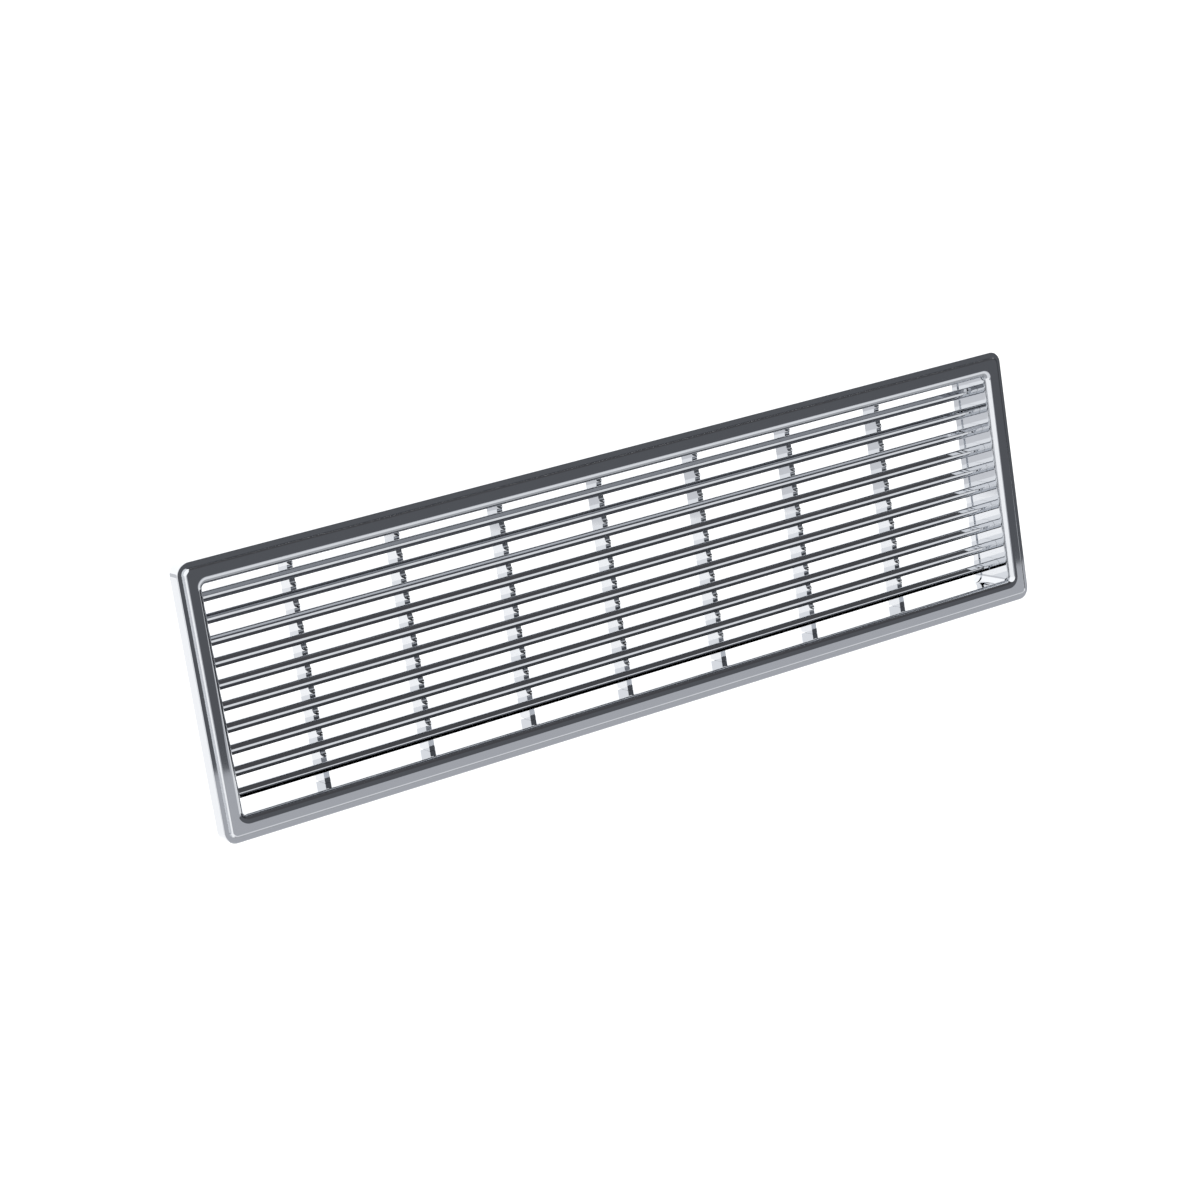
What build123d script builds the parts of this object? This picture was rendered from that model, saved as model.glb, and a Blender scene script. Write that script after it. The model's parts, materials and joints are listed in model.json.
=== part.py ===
from build123d import *
import os

# Bright rectangular front grille: a stepped surround, a deep housing behind it, ten
# horizontal bars, seven upright ribs that carry the bars, push nuts that hold the
# housing in the surround, and four studs that fix the grille to a body panel.
#
# Millimetres. X runs to the right along the bars, Y runs rearwards, Z runs up.
# The origin is the centre of the four-stud pattern on the plane where the surround
# meets the panel, so everything in front of the panel has negative Y.

# Surround
OVERALL_WIDTH = 607.0
OVERALL_HEIGHT = 170.4
SEAT_DEPTH = 13.0           # front face to the rear edge that meets the panel
OUTER_CORNER = 7.5
LEDGE = 3.4                 # width of the step that runs round the raised rim
RIM_RISE = 2.6              # height of the raised rim above that step
RIM_ROUND = 1.8
LEDGE_ROUND = 0.5
SHELL = 2.2                 # wall thickness of the surround
OPENING_WIDTH = 578.4
OPENING_HEIGHT = 140.2
OPENING_CORNER = 2.6
LIP_ROUND = 4.8             # quarter round from the front face into the opening
LIP_DEPTH = 6.0             # front face to the rear of the return round the opening

# Housing
HOUSING_WALL = 1.5
HOUSING_INNER_WIDTH = 581.6
HOUSING_INNER_HEIGHT = 149.2
HOUSING_CORNER = 5.0
HOUSING_DEPTH = 41.0        # front face to the rear edge of the housing
FLANGE = 1.5
FLANGE_STEP = 0.8           # how far the flange's opening is set back from the surround's
FLANGE_MARGIN = 0.7         # gap between the housing flange and the surround's wall
END_RIB = 0.8               # how far the housing's end ribs stand proud of its side walls
END_RIB_DEPTH = 5.6
GUSSET = 1.2                # thickness of the webs behind the flange
GUSSET_REACH = 4.0          # from the housing wall outwards
GUSSET_LENGTH = 5.2         # from the flange rearwards
SINK = 0.2                  # how far a web is sunk into the wall it grows from

# Bars
BAR_COUNT = 10
BAR_PITCH = 13.35
BAR_HEIGHT = 6.4
BAR_NOSE = 14.0             # front face to the bar's nose
BAR_BACK = 27.0             # front face to the bar's rear edge
BAR_NOSE_TOP = 0.9          # the nose's ridge, this far above the bar's middle
BAR_NOSE_BOTTOM = 0.6       # the front facet ends this far below the middle
BAR_FRONT_SLOPE = 0.35      # depth of that facet
BAR_UPPER_SLOPE = 2.1       # depth of the slope from the ridge to the bar's top
BAR_LOWER_SLOPE = 2.6       # depth from the ridge to the bar's underside
BAR_SHOULDER_ROUND = 2.0
BAR_EDGE_ROUND = 0.5
BAR_WALL = 1.3
BAR_CHANNEL_FRONT = 18.8    # front face to the bottom of the channel in the bar's back
BAR_STUB_FRONT = 18.6
BAR_STUB_BACK = 26.0
BAR_STUB_HEIGHT = 5.8
SLOT_GAP = 0.1              # between a slot and the stub or tab that fills it
HOLE_GAP = 0.2              # between a post or boss and its hole in the housing flange

# Ribs
RIB_COUNT = 7
RIB_PITCH = 73.1
RIB_WIDTH = 3.8
RIB_FRONT = 32.2            # front face to the rib's front edge between two bars
RIB_BACK = 45.5             # the ribs stand out a little behind the housing
RIB_ROOT_ROUND = 2.4
RIB_EDGE_ROUND = 0.5
TONGUE_FRONT = 20.5
TONGUE_HEIGHT = 3.6
TAB_FRONT = 33.6
TAB_BACK = 38.6

# Posts, push nuts and studs
POST_DIAMETER = 3.2
POST_ROOT = 2.1             # front face to the post's root, inside the surround's face
POST_END = 10.5             # front face to the end of the post
END_POST_HEIGHT = 30.0      # of the two posts at each end, above and below the middle
PUSH_NUT_DIAMETER = 6.2
PUSH_NUT_CROWN = 4.6        # diameter of the raised middle
PUSH_NUT_HOLLOW = 3.6       # diameter of the hollow under it
PUSH_NUT_SHEET = 0.5
PUSH_NUT_DISH = 0.5
PUSH_NUT_SLITS = 6
PUSH_NUT_SLIT = 0.3
PUSH_NUT_SLIT_END = 2.2     # from the nut's centre
STUD_DIAMETER = 4.0
STUD_CHAMFER = 0.6
STUD_COLLAR_DIAMETER = 5.2  # of the plain collar that fills the boss
STUD_SPACING_X = 511.7
STUD_SPACING_Z = 160.2
STUD_LENGTH = 14.0          # length that stands out behind the seat
STUD_ROOT = 5.0             # front face to the stud's buried end
STUD_BOSS_DIAMETER = 7.0
CLEARANCE = 0.05

FRONT = -SEAT_DEPTH
CHANNEL_CENTRE_Z = (HOUSING_INNER_HEIGHT / 2 + HOUSING_WALL + OVERALL_HEIGHT / 2 - SHELL) / 2
CHANNEL_CENTRE_X = (HOUSING_INNER_WIDTH / 2 + HOUSING_WALL + OVERALL_WIDTH / 2 - SHELL) / 2


def at_depth(depth):
    """Y of a plane that lies this far behind the front face."""
    return FRONT + depth


def slab(width, height, corner, front_depth, back_depth):
    """Rounded rectangle in X and Z, between two depths."""
    plane = Plane(origin=(0, at_depth(back_depth), 0), x_dir=(1, 0, 0), z_dir=(0, -1, 0))
    return extrude(plane * RectangleRounded(width, height, corner), back_depth - front_depth)


def block(x_range, depth_range, z_range):
    """Box given by its lowest and highest X, depth and Z."""
    size = [high - low for low, high in (x_range, depth_range, z_range)]
    middle = [(low + high) / 2 for low, high in (x_range, depth_range, z_range)]
    return Pos(middle[0], at_depth(middle[1]), middle[2]) * Box(*size)


def rod(diameter, front_depth, back_depth):
    """Cylinder along Y between two depths, centred on the Y axis."""
    length = back_depth - front_depth
    middle = at_depth((front_depth + back_depth) / 2)
    return Pos(0, middle, 0) * Rot(90, 0, 0) * Cylinder(diameter / 2, length)


def edges_on(solid, depth):
    """Edges that lie wholly in the plane at this depth."""
    plane_y = at_depth(depth)
    return [
        edge
        for edge in solid.edges()
        if abs(edge.bounding_box().min.Y - plane_y) < 1e-4
        and abs(edge.bounding_box().max.Y - plane_y) < 1e-4
    ]


def bar_heights():
    lowest = -BAR_PITCH * (BAR_COUNT - 1) / 2
    return [lowest + BAR_PITCH * index for index in range(BAR_COUNT)]


def rib_places():
    leftmost = -RIB_PITCH * (RIB_COUNT - 1) / 2
    return [leftmost + RIB_PITCH * index for index in range(RIB_COUNT)]


def post_places():
    """Posts stand between the ribs above and below the opening, and two at each end."""
    along = [x + RIB_PITCH / 2 for x in rib_places()[:-1]]
    places = [(x, side * CHANNEL_CENTRE_Z) for side in (-1, 1) for x in along]
    levels = (-END_POST_HEIGHT, END_POST_HEIGHT)
    ends = [(side * CHANNEL_CENTRE_X, z) for side in (-1, 1) for z in levels]
    return places + ends


def stud_places():
    return [
        (side * STUD_SPACING_X / 2, level * STUD_SPACING_Z / 2)
        for side in (-1, 1)
        for level in (-1, 1)
    ]


def opening_edges(solid):
    """Edges of the opening in the front face."""
    tolerance = 1e-3
    inside = []
    for edge in edges_on(solid, 0):
        box = edge.bounding_box()
        furthest_x = max(abs(box.min.X), abs(box.max.X))
        furthest_z = max(abs(box.min.Z), abs(box.max.Z))
        if furthest_x < OPENING_WIDTH / 2 + tolerance and furthest_z < OPENING_HEIGHT / 2 + tolerance:
            inside.append(edge)
    return inside


def front_bezel():
    """Stepped surround, open at the back, with posts and stud bosses in its channel."""
    rim_width = OVERALL_WIDTH - 2 * LEDGE
    rim_height = OVERALL_HEIGHT - 2 * LEDGE
    rim_corner = OUTER_CORNER - LEDGE
    base = slab(OVERALL_WIDTH, OVERALL_HEIGHT, OUTER_CORNER, RIM_RISE, SEAT_DEPTH)
    base = fillet(edges_on(base, RIM_RISE), LEDGE_ROUND)
    rim = slab(rim_width, rim_height, rim_corner, 0, SEAT_DEPTH)
    rim = fillet(edges_on(rim, 0), RIM_ROUND)
    envelope = base + rim
    shell = base + rim
    opening = slab(OPENING_WIDTH, OPENING_HEIGHT, OPENING_CORNER, -1, SEAT_DEPTH + 1)
    shell = shell - opening
    shell = fillet(opening_edges(shell), LIP_ROUND)
    return_outer = slab(OPENING_WIDTH + 2 * SHELL, OPENING_HEIGHT + 2 * SHELL,
                        OPENING_CORNER + SHELL, 0, LIP_DEPTH)
    wide_channel = slab(OVERALL_WIDTH - 2 * SHELL, OVERALL_HEIGHT - 2 * SHELL,
                        OUTER_CORNER - SHELL, RIM_RISE + SHELL, SEAT_DEPTH + 1)
    deep_channel = slab(rim_width - 2 * SHELL, rim_height - 2 * SHELL,
                        rim_corner - SHELL + 1, RIM_RISE, RIM_RISE + SHELL)
    shell = shell - (wide_channel + deep_channel - return_outer)
    for x, z in post_places():
        shell = shell + Pos(x, 0, z) * rod(POST_DIAMETER, POST_ROOT, POST_END)
    for x, z in stud_places():
        boss = Pos(x, 0, z) * rod(STUD_BOSS_DIAMETER, POST_ROOT, SEAT_DEPTH)
        shell = shell + (boss & envelope)
    for x, z in stud_places():
        pocket = rod(STUD_COLLAR_DIAMETER + 2 * CLEARANCE, STUD_ROOT, SEAT_DEPTH + 1)
        shell = shell - Pos(x, 0, z) * pocket
    return shell


def housing_flange():
    """Flat flange behind the surround, with holes for the posts and notches for the bosses."""
    width = OVERALL_WIDTH - 2 * SHELL - 2 * FLANGE_MARGIN
    height = OVERALL_HEIGHT - 2 * SHELL - 2 * FLANGE_MARGIN
    flange = slab(width, height, OUTER_CORNER - SHELL, LIP_DEPTH, LIP_DEPTH + FLANGE)
    for x, z in post_places():
        hole = rod(POST_DIAMETER + 2 * HOLE_GAP, LIP_DEPTH - 1, LIP_DEPTH + FLANGE + 1)
        flange = flange - Pos(x, 0, z) * hole
    for x, z in stud_places():
        notch = rod(STUD_BOSS_DIAMETER + 2 * HOLE_GAP, LIP_DEPTH - 1, LIP_DEPTH + FLANGE + 1)
        flange = flange - Pos(x, 0, z) * notch
    return flange


def gusset_pair(x):
    """Small triangular webs that stiffen the flange, one above and one below."""
    root = HOUSING_INNER_HEIGHT / 2 + HOUSING_WALL - SINK
    start = at_depth(LIP_DEPTH + FLANGE - SINK)
    web = Polyline((start, root), (start, root + GUSSET_REACH),
                   (start + GUSSET_LENGTH, root), close=True)
    plane = Plane(origin=(x - GUSSET / 2, 0, 0), x_dir=(0, 1, 0), z_dir=(1, 0, 0))
    upper = extrude(plane * make_face(web), GUSSET)
    return upper, mirror(upper, about=Plane.XY)


def grille_housing():
    """Deep rectangular shell with a front flange, slotted for the bars and the ribs."""
    outer = slab(HOUSING_INNER_WIDTH + 2 * HOUSING_WALL, HOUSING_INNER_HEIGHT + 2 * HOUSING_WALL,
                 HOUSING_CORNER + HOUSING_WALL, LIP_DEPTH, HOUSING_DEPTH)
    inner = slab(HOUSING_INNER_WIDTH, HOUSING_INNER_HEIGHT, HOUSING_CORNER,
                 LIP_DEPTH + FLANGE, HOUSING_DEPTH + 1)
    mouth = slab(OPENING_WIDTH + 2 * FLANGE_STEP, OPENING_HEIGHT + 2 * FLANGE_STEP,
                 OPENING_CORNER + FLANGE_STEP, LIP_DEPTH - 1, LIP_DEPTH + FLANGE + 1)
    rear_inner = slab(HOUSING_INNER_WIDTH - 2 * END_RIB, HOUSING_INNER_HEIGHT, HOUSING_CORNER,
                      HOUSING_DEPTH - END_RIB_DEPTH - 1, HOUSING_DEPTH + 1)
    end_ribs = slab(HOUSING_INNER_WIDTH + 1, HOUSING_INNER_HEIGHT + 1, HOUSING_CORNER,
                    HOUSING_DEPTH - END_RIB_DEPTH, HOUSING_DEPTH) - rear_inner
    housing = (outer + housing_flange() - inner - mouth) + end_ribs
    for x in rib_places():
        for web in gusset_pair(x):
            housing = housing + web
    half_width = HOUSING_INNER_WIDTH / 2
    for z in bar_heights():
        half_slot = BAR_STUB_HEIGHT / 2 + SLOT_GAP
        housing = housing - block((-half_width - 3, half_width + 3),
                                  (BAR_STUB_FRONT - SLOT_GAP, BAR_STUB_BACK + SLOT_GAP),
                                  (z - half_slot, z + half_slot))
    half_height = HOUSING_INNER_HEIGHT / 2
    for x in rib_places():
        half_slot = RIB_WIDTH / 2 + SLOT_GAP
        housing = housing - block((x - half_slot, x + half_slot),
                                  (TAB_FRONT - SLOT_GAP, TAB_BACK + SLOT_GAP),
                                  (-half_height - 3, half_height + 3))
    return housing


def bar_profile():
    """Closed outline of the bar's section: blunt faceted nose, flat top and bottom."""
    half = BAR_HEIGHT / 2
    nose = at_depth(BAR_NOSE)
    back = at_depth(BAR_BACK)
    outline = make_face(Polyline(
        (nose, BAR_NOSE_TOP),
        (nose + BAR_UPPER_SLOPE, half),
        (back, half),
        (back, -half),
        (nose + BAR_LOWER_SLOPE, -half),
        (nose + BAR_FRONT_SLOPE, -BAR_NOSE_BOTTOM),
        close=True,
    ))
    front = [corner for corner in outline.vertices() if corner.X < back - 1]
    edges = [corner for corner in front if corner.Y < half - 0.1]
    outline = fillet(edges, BAR_EDGE_ROUND)
    shoulder = [corner for corner in outline.vertices()
                if corner.X < back - 1 and corner.Y > half - 0.1]
    return fillet(shoulder, BAR_SHOULDER_ROUND)


def grille_bar(z):
    """Hollow bar, open at the back, with a stub at each end that enters the housing wall."""
    half_length = HOUSING_INNER_WIDTH / 2 - SLOT_GAP
    section = Plane(origin=(-half_length, 0, 0), x_dir=(0, 1, 0), z_dir=(1, 0, 0)) * bar_profile()
    body = extrude(section, 2 * half_length)
    stub_half = half_length + HOUSING_WALL
    stubs = block((-stub_half, stub_half), (BAR_STUB_FRONT, BAR_STUB_BACK),
                  (-BAR_STUB_HEIGHT / 2, BAR_STUB_HEIGHT / 2))
    channel_half = BAR_HEIGHT / 2 - BAR_WALL
    channel = block((-stub_half - 1, stub_half + 1), (BAR_CHANNEL_FRONT, BAR_BACK + 1),
                    (-channel_half, channel_half))
    return Pos(0, 0, z) * (body + stubs - channel)


def grille_rib(x):
    """Upright comb behind the bars: a tongue enters the channel of each bar."""
    half_height = HOUSING_INNER_HEIGHT / 2 - SLOT_GAP
    front = at_depth(RIB_FRONT)
    back = at_depth(RIB_BACK)
    root = at_depth(BAR_BACK)
    comb = Pos((front + back) / 2, 0) * Rectangle(back - front, 2 * half_height)
    for z in bar_heights():
        comb = comb + Pos((root + front) / 2, z) * Rectangle(front - root, BAR_HEIGHT)
    hollows = [corner for corner in comb.vertices()
               if abs(corner.X - front) < 1e-4 and abs(corner.Y) < half_height - 1]
    comb = fillet(hollows, RIB_ROOT_ROUND)
    plane = Plane(origin=(x - RIB_WIDTH / 2, 0, 0), x_dir=(0, 1, 0), z_dir=(1, 0, 0))
    rib = extrude(plane * comb, RIB_WIDTH)
    soft_edges = [edge for edge in rib.edges().filter_by(Axis.Z)
                  if abs(edge.center().Y - back) < 1e-4]
    rib = fillet(soft_edges, RIB_EDGE_ROUND)
    x_range = (x - RIB_WIDTH / 2, x + RIB_WIDTH / 2)
    for z in bar_heights():
        rib = rib + block(x_range, (TONGUE_FRONT, BAR_BACK + 0.5),
                          (z - TONGUE_HEIGHT / 2, z + TONGUE_HEIGHT / 2))
    tab_end = half_height + HOUSING_WALL
    return rib + block(x_range, (TAB_FRONT, TAB_BACK), (-tab_end, tab_end))


def push_nut(x, z):
    """Dished spring-steel disc whose slit rim bites on a post."""
    seat = LIP_DEPTH + FLANGE
    washer = rod(PUSH_NUT_DIAMETER, seat, seat + PUSH_NUT_SHEET)
    crown = rod(PUSH_NUT_CROWN, seat, seat + PUSH_NUT_SHEET + PUSH_NUT_DISH)
    hollow = rod(PUSH_NUT_HOLLOW, seat - 1, seat + PUSH_NUT_DISH)
    bore = rod(POST_DIAMETER + 2 * CLEARANCE, seat - 1, seat + 3)
    nut = washer + crown - hollow - bore
    for index in range(PUSH_NUT_SLITS):
        angle = 360 / PUSH_NUT_SLITS * index
        slit = block((0, PUSH_NUT_SLIT_END), (seat - 1, seat + 3),
                     (-PUSH_NUT_SLIT / 2, PUSH_NUT_SLIT / 2))
        nut = nut - Rot(0, angle, 0) * slit
    return Pos(x, 0, z) * nut


def mounting_stud(x, z):
    """Stud with a plain collar buried in its boss, flush with the seat."""
    shank = rod(STUD_DIAMETER, STUD_ROOT, SEAT_DEPTH + STUD_LENGTH)
    tip = edges_on(shank, SEAT_DEPTH + STUD_LENGTH)
    shank = chamfer(tip, STUD_CHAMFER)
    collar = rod(STUD_COLLAR_DIAMETER, STUD_ROOT, SEAT_DEPTH)
    return Pos(x, 0, z) * (shank + collar)


def save(shape, node):
    export_step(shape, f"parts/{node}.step")


def main():
    os.makedirs("parts", exist_ok=True)
    save(front_bezel(), "front_bezel")
    save(grille_housing(), "grille_housing")
    for index, z in enumerate(reversed(bar_heights()), start=1):
        save(grille_bar(z), f"bar_{index:02d}")
    for index, x in enumerate(rib_places(), start=1):
        save(grille_rib(x), f"rib_{index}")
    save(Compound([push_nut(x, z) for x, z in post_places()]), "push_nuts")
    save(Compound([mounting_stud(x, z) for x, z in stud_places()]), "mounting_studs")


main()
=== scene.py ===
"""Looks of a bright rectangular vehicle grille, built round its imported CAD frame.

Metres. X runs right along the bars, Y runs rearwards, Z runs up. The origin is the centre
of the four-stud pattern, on the plane where the surround meets the panel.
"""

import json
import math

import bpy
from mathutils import Matrix, Vector


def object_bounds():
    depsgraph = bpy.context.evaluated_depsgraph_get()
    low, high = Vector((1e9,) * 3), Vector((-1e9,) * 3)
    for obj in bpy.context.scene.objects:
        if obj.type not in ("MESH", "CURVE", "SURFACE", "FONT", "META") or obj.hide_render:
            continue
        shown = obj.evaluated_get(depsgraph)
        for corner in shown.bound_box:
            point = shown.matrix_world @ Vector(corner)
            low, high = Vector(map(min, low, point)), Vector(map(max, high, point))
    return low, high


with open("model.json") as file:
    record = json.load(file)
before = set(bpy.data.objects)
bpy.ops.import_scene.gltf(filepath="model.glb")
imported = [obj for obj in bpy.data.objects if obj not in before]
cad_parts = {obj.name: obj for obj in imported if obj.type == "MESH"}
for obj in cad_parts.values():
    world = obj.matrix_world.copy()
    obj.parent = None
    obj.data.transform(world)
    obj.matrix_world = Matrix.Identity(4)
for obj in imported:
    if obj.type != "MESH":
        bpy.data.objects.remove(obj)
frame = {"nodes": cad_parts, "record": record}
CAD_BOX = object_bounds()

MM = 0.001
SLOT_OF = {part["node"]: part["material_slot"] for part in frame["record"]["subparts"]}
LOW, HIGH = CAD_BOX
CENTRE = (LOW + HIGH) / 2

# Camera: it looks at a point on the front face, from the left and above, and leans a little
AIM = Vector((-0.0306, LOW.y, -0.0034))
CAMERA_DISTANCE = 1.9437
CAMERA_AZIMUTH = math.radians(-29.9)
CAMERA_ELEVATION = math.radians(12.81)
CAMERA_ROLL = math.radians(-8.81)
CAMERA_LENS = 93.9
CAMERA_SENSOR = 36.0

# Chrome plate: its reflectance, slightly blue, and how strongly each moulding's waves show
CHROME_TINT = (0.62, 0.635, 0.66)
WAVINESS = {
    "surround_chrome": 0.05,
    "housing_chrome": 0.20,
    "bar_chrome": 0.05,
    "rib_chrome": 0.10,
}
WAVE_HEIGHT = 0.4 * MM
WAVE_STRETCH = (0.35, 1.0, 1.0)
WAVES_PER_METRE = 22.0
HAZE_PER_METRE = 55.0
HAZE_ROUGHNESS = (0.02, 0.06)
GRAINS_PER_METRE = 900.0

# Studio: white light from all round, a pale floor, and cards that show only in reflections
WORLD_STRENGTH = 1.5
FLOOR_LEVEL = LOW.z - 0.9
FLOOR_REACH = 80.0
CARD_FLOOR = FLOOR_LEVEL + 0.01

# Dark room in front of the grille and to its right
ROOM_LEFT = 0.16
ROOM_RIGHT = 3.2
ROOM_FRONT = -1.6
ROOM_BACK = 2.0
CEILING = 1.6
CEILING_BACK = 0.7
FRONT_WALL_BOTTOMS = (CENTRE.z - 0.485, CENTRE.z - 0.585)

# Low walls behind the room and to the left
LOW_WALLS_END = 4.5
LOW_SIDE_TOP = CENTRE.z - 0.1
LOW_BACK_TOP = CENTRE.z - 0.15
LOW_BACK_LEFT = -1.0
LEFT_WALL = -2.5
LEFT_WALL_Y = (-0.4, 6.0)
LEFT_WALL_TOP = CENTRE.z + 0.2

# Floor cards, one behind the other from far in front to under the grille
FAR_FLOOR_FRONT = -12.0
NEAR_FLOOR_FRONT = -2.3
UNDER_FLOOR_FRONT = -0.75
UNDER_FLOOR_BACK = 0.6
FAR_FLOOR_X = (-1.2, 6.0)
NEAR_FLOOR_X = (-0.4, 6.0)
UNDER_FLOOR_X = (-0.6, 2.0)

CARD_COLOURS = {
    "front_card": (0.125, 0.13, 0.142),
    "side_card": (0.05, 0.052, 0.058),
    "ceiling_card": (0.09, 0.09, 0.096),
    "low_side_card": (0.08, 0.082, 0.088),
    "low_back_card": (0.10, 0.102, 0.108),
    "left_back_card": (0.84, 0.85, 0.88),
    "far_floor_card": (0.56, 0.57, 0.60),
    "near_floor_card": (1.05, 1.06, 1.08),
    "under_card": (0.52, 0.53, 0.55),
}


def material(name):
    """New node material with its output and principled shader."""
    made = bpy.data.materials.new(name)
    made.use_nodes = True
    nodes = made.node_tree.nodes
    nodes.clear()
    output = nodes.new("ShaderNodeOutputMaterial")
    shader = nodes.new("ShaderNodeBsdfPrincipled")
    made.node_tree.links.new(shader.outputs["BSDF"], output.inputs["Surface"])
    return made, shader


def noise(made, scale, detail, stretch=(1.0, 1.0, 1.0)):
    """Noise in object space, with this many features per metre."""
    nodes = made.node_tree.nodes
    links = made.node_tree.links
    place = nodes.new("ShaderNodeTexCoord")
    mapping = nodes.new("ShaderNodeMapping")
    mapping.inputs["Scale"].default_value = stretch
    links.new(place.outputs["Object"], mapping.inputs["Vector"])
    texture = nodes.new("ShaderNodeTexNoise")
    texture.inputs["Scale"].default_value = scale
    texture.inputs["Detail"].default_value = detail
    links.new(mapping.outputs["Vector"], texture.inputs["Vector"])
    return texture.outputs["Fac"]


def remap(made, value, low, high):
    """Maps a value from 0..1 to low..high."""
    node = made.node_tree.nodes.new("ShaderNodeMapRange")
    node.inputs["To Min"].default_value = low
    node.inputs["To Max"].default_value = high
    made.node_tree.links.new(value, node.inputs["Value"])
    return node.outputs["Result"]


def bump(made, height, strength, distance):
    """Normal of a surface that this height disturbs."""
    node = made.node_tree.nodes.new("ShaderNodeBump")
    node.inputs["Strength"].default_value = strength
    node.inputs["Distance"].default_value = distance
    made.node_tree.links.new(height, node.inputs["Height"])
    return node.outputs["Normal"]


def chrome(name, waviness):
    """Chrome plate on a moulding: mirror bright, with faint moulding waves and a slight haze."""
    made, shader = material(name)
    shader.inputs["Base Color"].default_value = (*CHROME_TINT, 1.0)
    shader.inputs["Metallic"].default_value = 1.0
    haze = noise(made, HAZE_PER_METRE, 3.0)
    made.node_tree.links.new(remap(made, haze, *HAZE_ROUGHNESS), shader.inputs["Roughness"])
    waves = noise(made, WAVES_PER_METRE, 1.0, WAVE_STRETCH)
    made.node_tree.links.new(bump(made, waves, waviness, WAVE_HEIGHT), shader.inputs["Normal"])
    return made


def steel(name, tint, roughness):
    """Plain metal whose roughness varies with a fine grain."""
    made, shader = material(name)
    shader.inputs["Base Color"].default_value = (*tint, 1.0)
    shader.inputs["Metallic"].default_value = 1.0
    grain = noise(made, GRAINS_PER_METRE, 4.0)
    rough = remap(made, grain, roughness - 0.08, roughness + 0.1)
    made.node_tree.links.new(rough, shader.inputs["Roughness"])
    return made


def spring_steel():
    """Dark phosphated spring steel of the push nuts."""
    return steel("spring_steel_phosphate", (0.22, 0.22, 0.23), 0.45)


def stud_steel():
    """Zinc-plated steel of the studs."""
    return steel("zinc_plated_steel", (0.62, 0.61, 0.56), 0.32)


def floor_white():
    """Matt white of the floor."""
    made, shader = material("floor_white")
    shader.inputs["Base Color"].default_value = (0.9, 0.9, 0.9, 1.0)
    shader.inputs["Roughness"].default_value = 0.8
    return made


def glow(name, colour):
    """Surface that gives off this colour evenly."""
    made = bpy.data.materials.new(name)
    made.use_nodes = True
    nodes = made.node_tree.nodes
    nodes.clear()
    output = nodes.new("ShaderNodeOutputMaterial")
    emission = nodes.new("ShaderNodeEmission")
    emission.inputs["Color"].default_value = (*colour, 1.0)
    made.node_tree.links.new(emission.outputs["Emission"], output.inputs["Surface"])
    return made


def finish_nodes():
    """Gives every CAD node the material of its slot."""
    finishes = {slot: chrome(slot + "_plate", waviness) for slot, waviness in WAVINESS.items()}
    finishes["spring_steel"] = spring_steel()
    finishes["stud_steel"] = stud_steel()
    for name, node in frame["nodes"].items():
        node.data.materials.clear()
        node.data.materials.append(finishes[SLOT_OF[name]])


def camera_axes():
    """Right, up and backward directions of the camera."""
    back = Vector((math.sin(CAMERA_AZIMUTH) * math.cos(CAMERA_ELEVATION),
                   -math.cos(CAMERA_AZIMUTH) * math.cos(CAMERA_ELEVATION),
                   math.sin(CAMERA_ELEVATION)))
    right = Vector((0, 0, 1)).cross(back).normalized()
    up = back.cross(right)
    turned_right = right * math.cos(CAMERA_ROLL) + up * math.sin(CAMERA_ROLL)
    return turned_right, back.cross(turned_right), back


def add_camera():
    """Camera at the set distance from its aim."""
    data = bpy.data.cameras.new("camera")
    data.lens = CAMERA_LENS
    data.sensor_width = CAMERA_SENSOR
    data.clip_end = 100.0
    holder = bpy.data.objects.new("camera", data)
    right, up, back = camera_axes()
    turn = Matrix((right, up, back)).transposed()
    holder.matrix_world = Matrix.Translation(AIM + CAMERA_DISTANCE * back) @ turn.to_4x4()
    bpy.context.scene.collection.objects.link(holder)
    bpy.context.scene.camera = holder


def panel(name, corners, surface):
    """Flat four-cornered stage piece."""
    mesh = bpy.data.meshes.new(name)
    mesh.from_pydata([tuple(corner) for corner in corners], [], [(0, 1, 2, 3)])
    mesh.materials.append(surface)
    holder = bpy.data.objects.new(name, mesh)
    bpy.context.scene.collection.objects.link(holder)
    return holder


def card(name, corners):
    """Stage card that shows only in reflections."""
    holder = panel(name, corners, glow(name, CARD_COLOURS[name]))
    holder.visible_camera = False
    holder.visible_diffuse = False
    holder.visible_shadow = False


def lying(x_range, y_range, z):
    """Corners of a level rectangle."""
    left, right = x_range
    front, back = y_range
    return [(left, front, z), (right, front, z), (right, back, z), (left, back, z)]


def standing_along(x, y_range, top):
    """Corners of a wall on the floor that runs from front to back."""
    front, back = y_range
    return [(x, front, CARD_FLOOR), (x, back, CARD_FLOOR), (x, back, top), (x, front, top)]


def standing_across(y, x_range, bottoms, top):
    """Corners of a wall that runs from left to right, with the height of its bottom at each end."""
    left, right = x_range
    return [(left, y, bottoms[0]), (right, y, bottoms[1]), (right, y, top), (left, y, top)]


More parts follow.
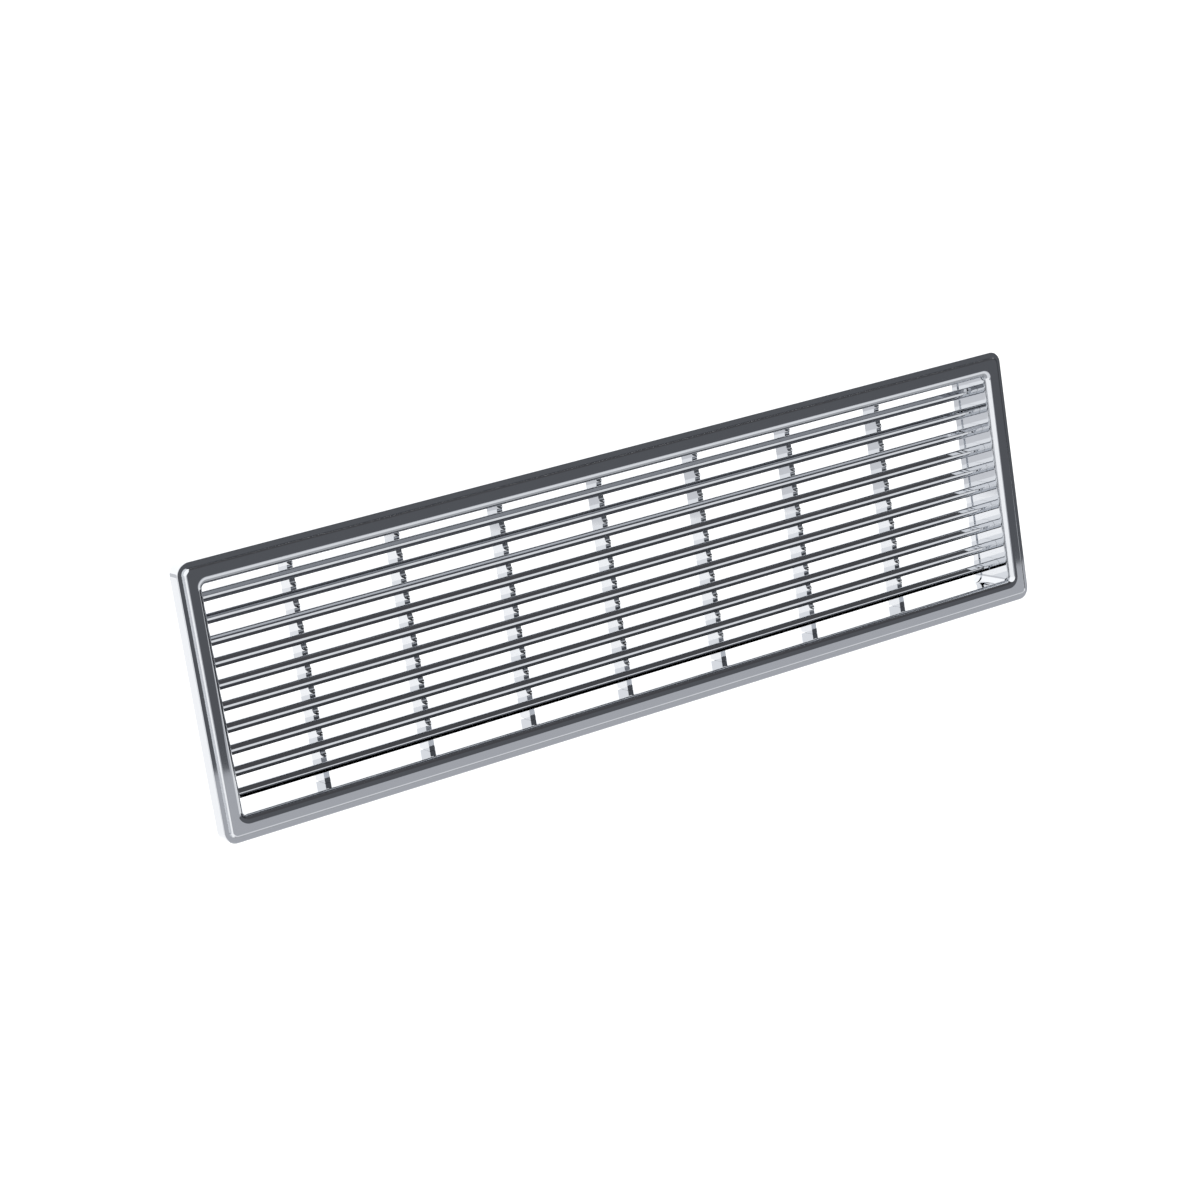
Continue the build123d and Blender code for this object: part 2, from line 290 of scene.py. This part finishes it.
def add_world():
    """Even white light from all round."""
    world = bpy.data.worlds.new("studio")
    world.use_nodes = True
    background = world.node_tree.nodes["Background"]
    background.inputs["Color"].default_value = (1.0, 1.0, 1.0, 1.0)
    background.inputs["Strength"].default_value = WORLD_STRENGTH
    bpy.context.scene.world = world


def add_floor():
    """Plain pale floor well below the grille."""
    spread = (-FLOOR_REACH, FLOOR_REACH)
    panel("floor", lying(spread, spread, FLOOR_LEVEL), floor_white())


def add_dark_room():
    """Dark wall in front, dark wall to the right, and a dark ceiling over both."""
    width = (ROOM_LEFT, ROOM_RIGHT)
    card("front_card", standing_across(ROOM_FRONT, width, FRONT_WALL_BOTTOMS, CEILING))
    card("side_card", standing_along(ROOM_RIGHT, (ROOM_FRONT, ROOM_BACK), CEILING))
    card("ceiling_card", lying(width, (ROOM_FRONT, CEILING_BACK), CEILING))


def add_low_walls():
    """Low dark walls to the right and behind, and a pale grey one to the left."""
    card("low_side_card", standing_along(ROOM_RIGHT, (ROOM_BACK, LOW_WALLS_END), LOW_SIDE_TOP))
    back_width = (LOW_BACK_LEFT, ROOM_RIGHT)
    back_bottoms = (CARD_FLOOR, CARD_FLOOR)
    card("low_back_card", standing_across(LOW_WALLS_END, back_width, back_bottoms, LOW_BACK_TOP))
    card("left_back_card", standing_along(LEFT_WALL, LEFT_WALL_Y, LEFT_WALL_TOP))


def add_floor_cards():
    """Grey floor far in front, a brighter strip nearer, and a grey patch under the grille."""
    far = (FAR_FLOOR_FRONT, NEAR_FLOOR_FRONT)
    near = (NEAR_FLOOR_FRONT, UNDER_FLOOR_FRONT)
    under = (UNDER_FLOOR_FRONT, UNDER_FLOOR_BACK)
    card("far_floor_card", lying(FAR_FLOOR_X, far, CARD_FLOOR))
    card("near_floor_card", lying(NEAR_FLOOR_X, near, CARD_FLOOR))
    card("under_card", lying(UNDER_FLOOR_X, under, CARD_FLOOR))


bpy.context.scene.view_settings.view_transform = "Standard"
finish_nodes()
add_camera()
add_world()
add_floor()
add_dark_room()
add_low_walls()
add_floor_cards()
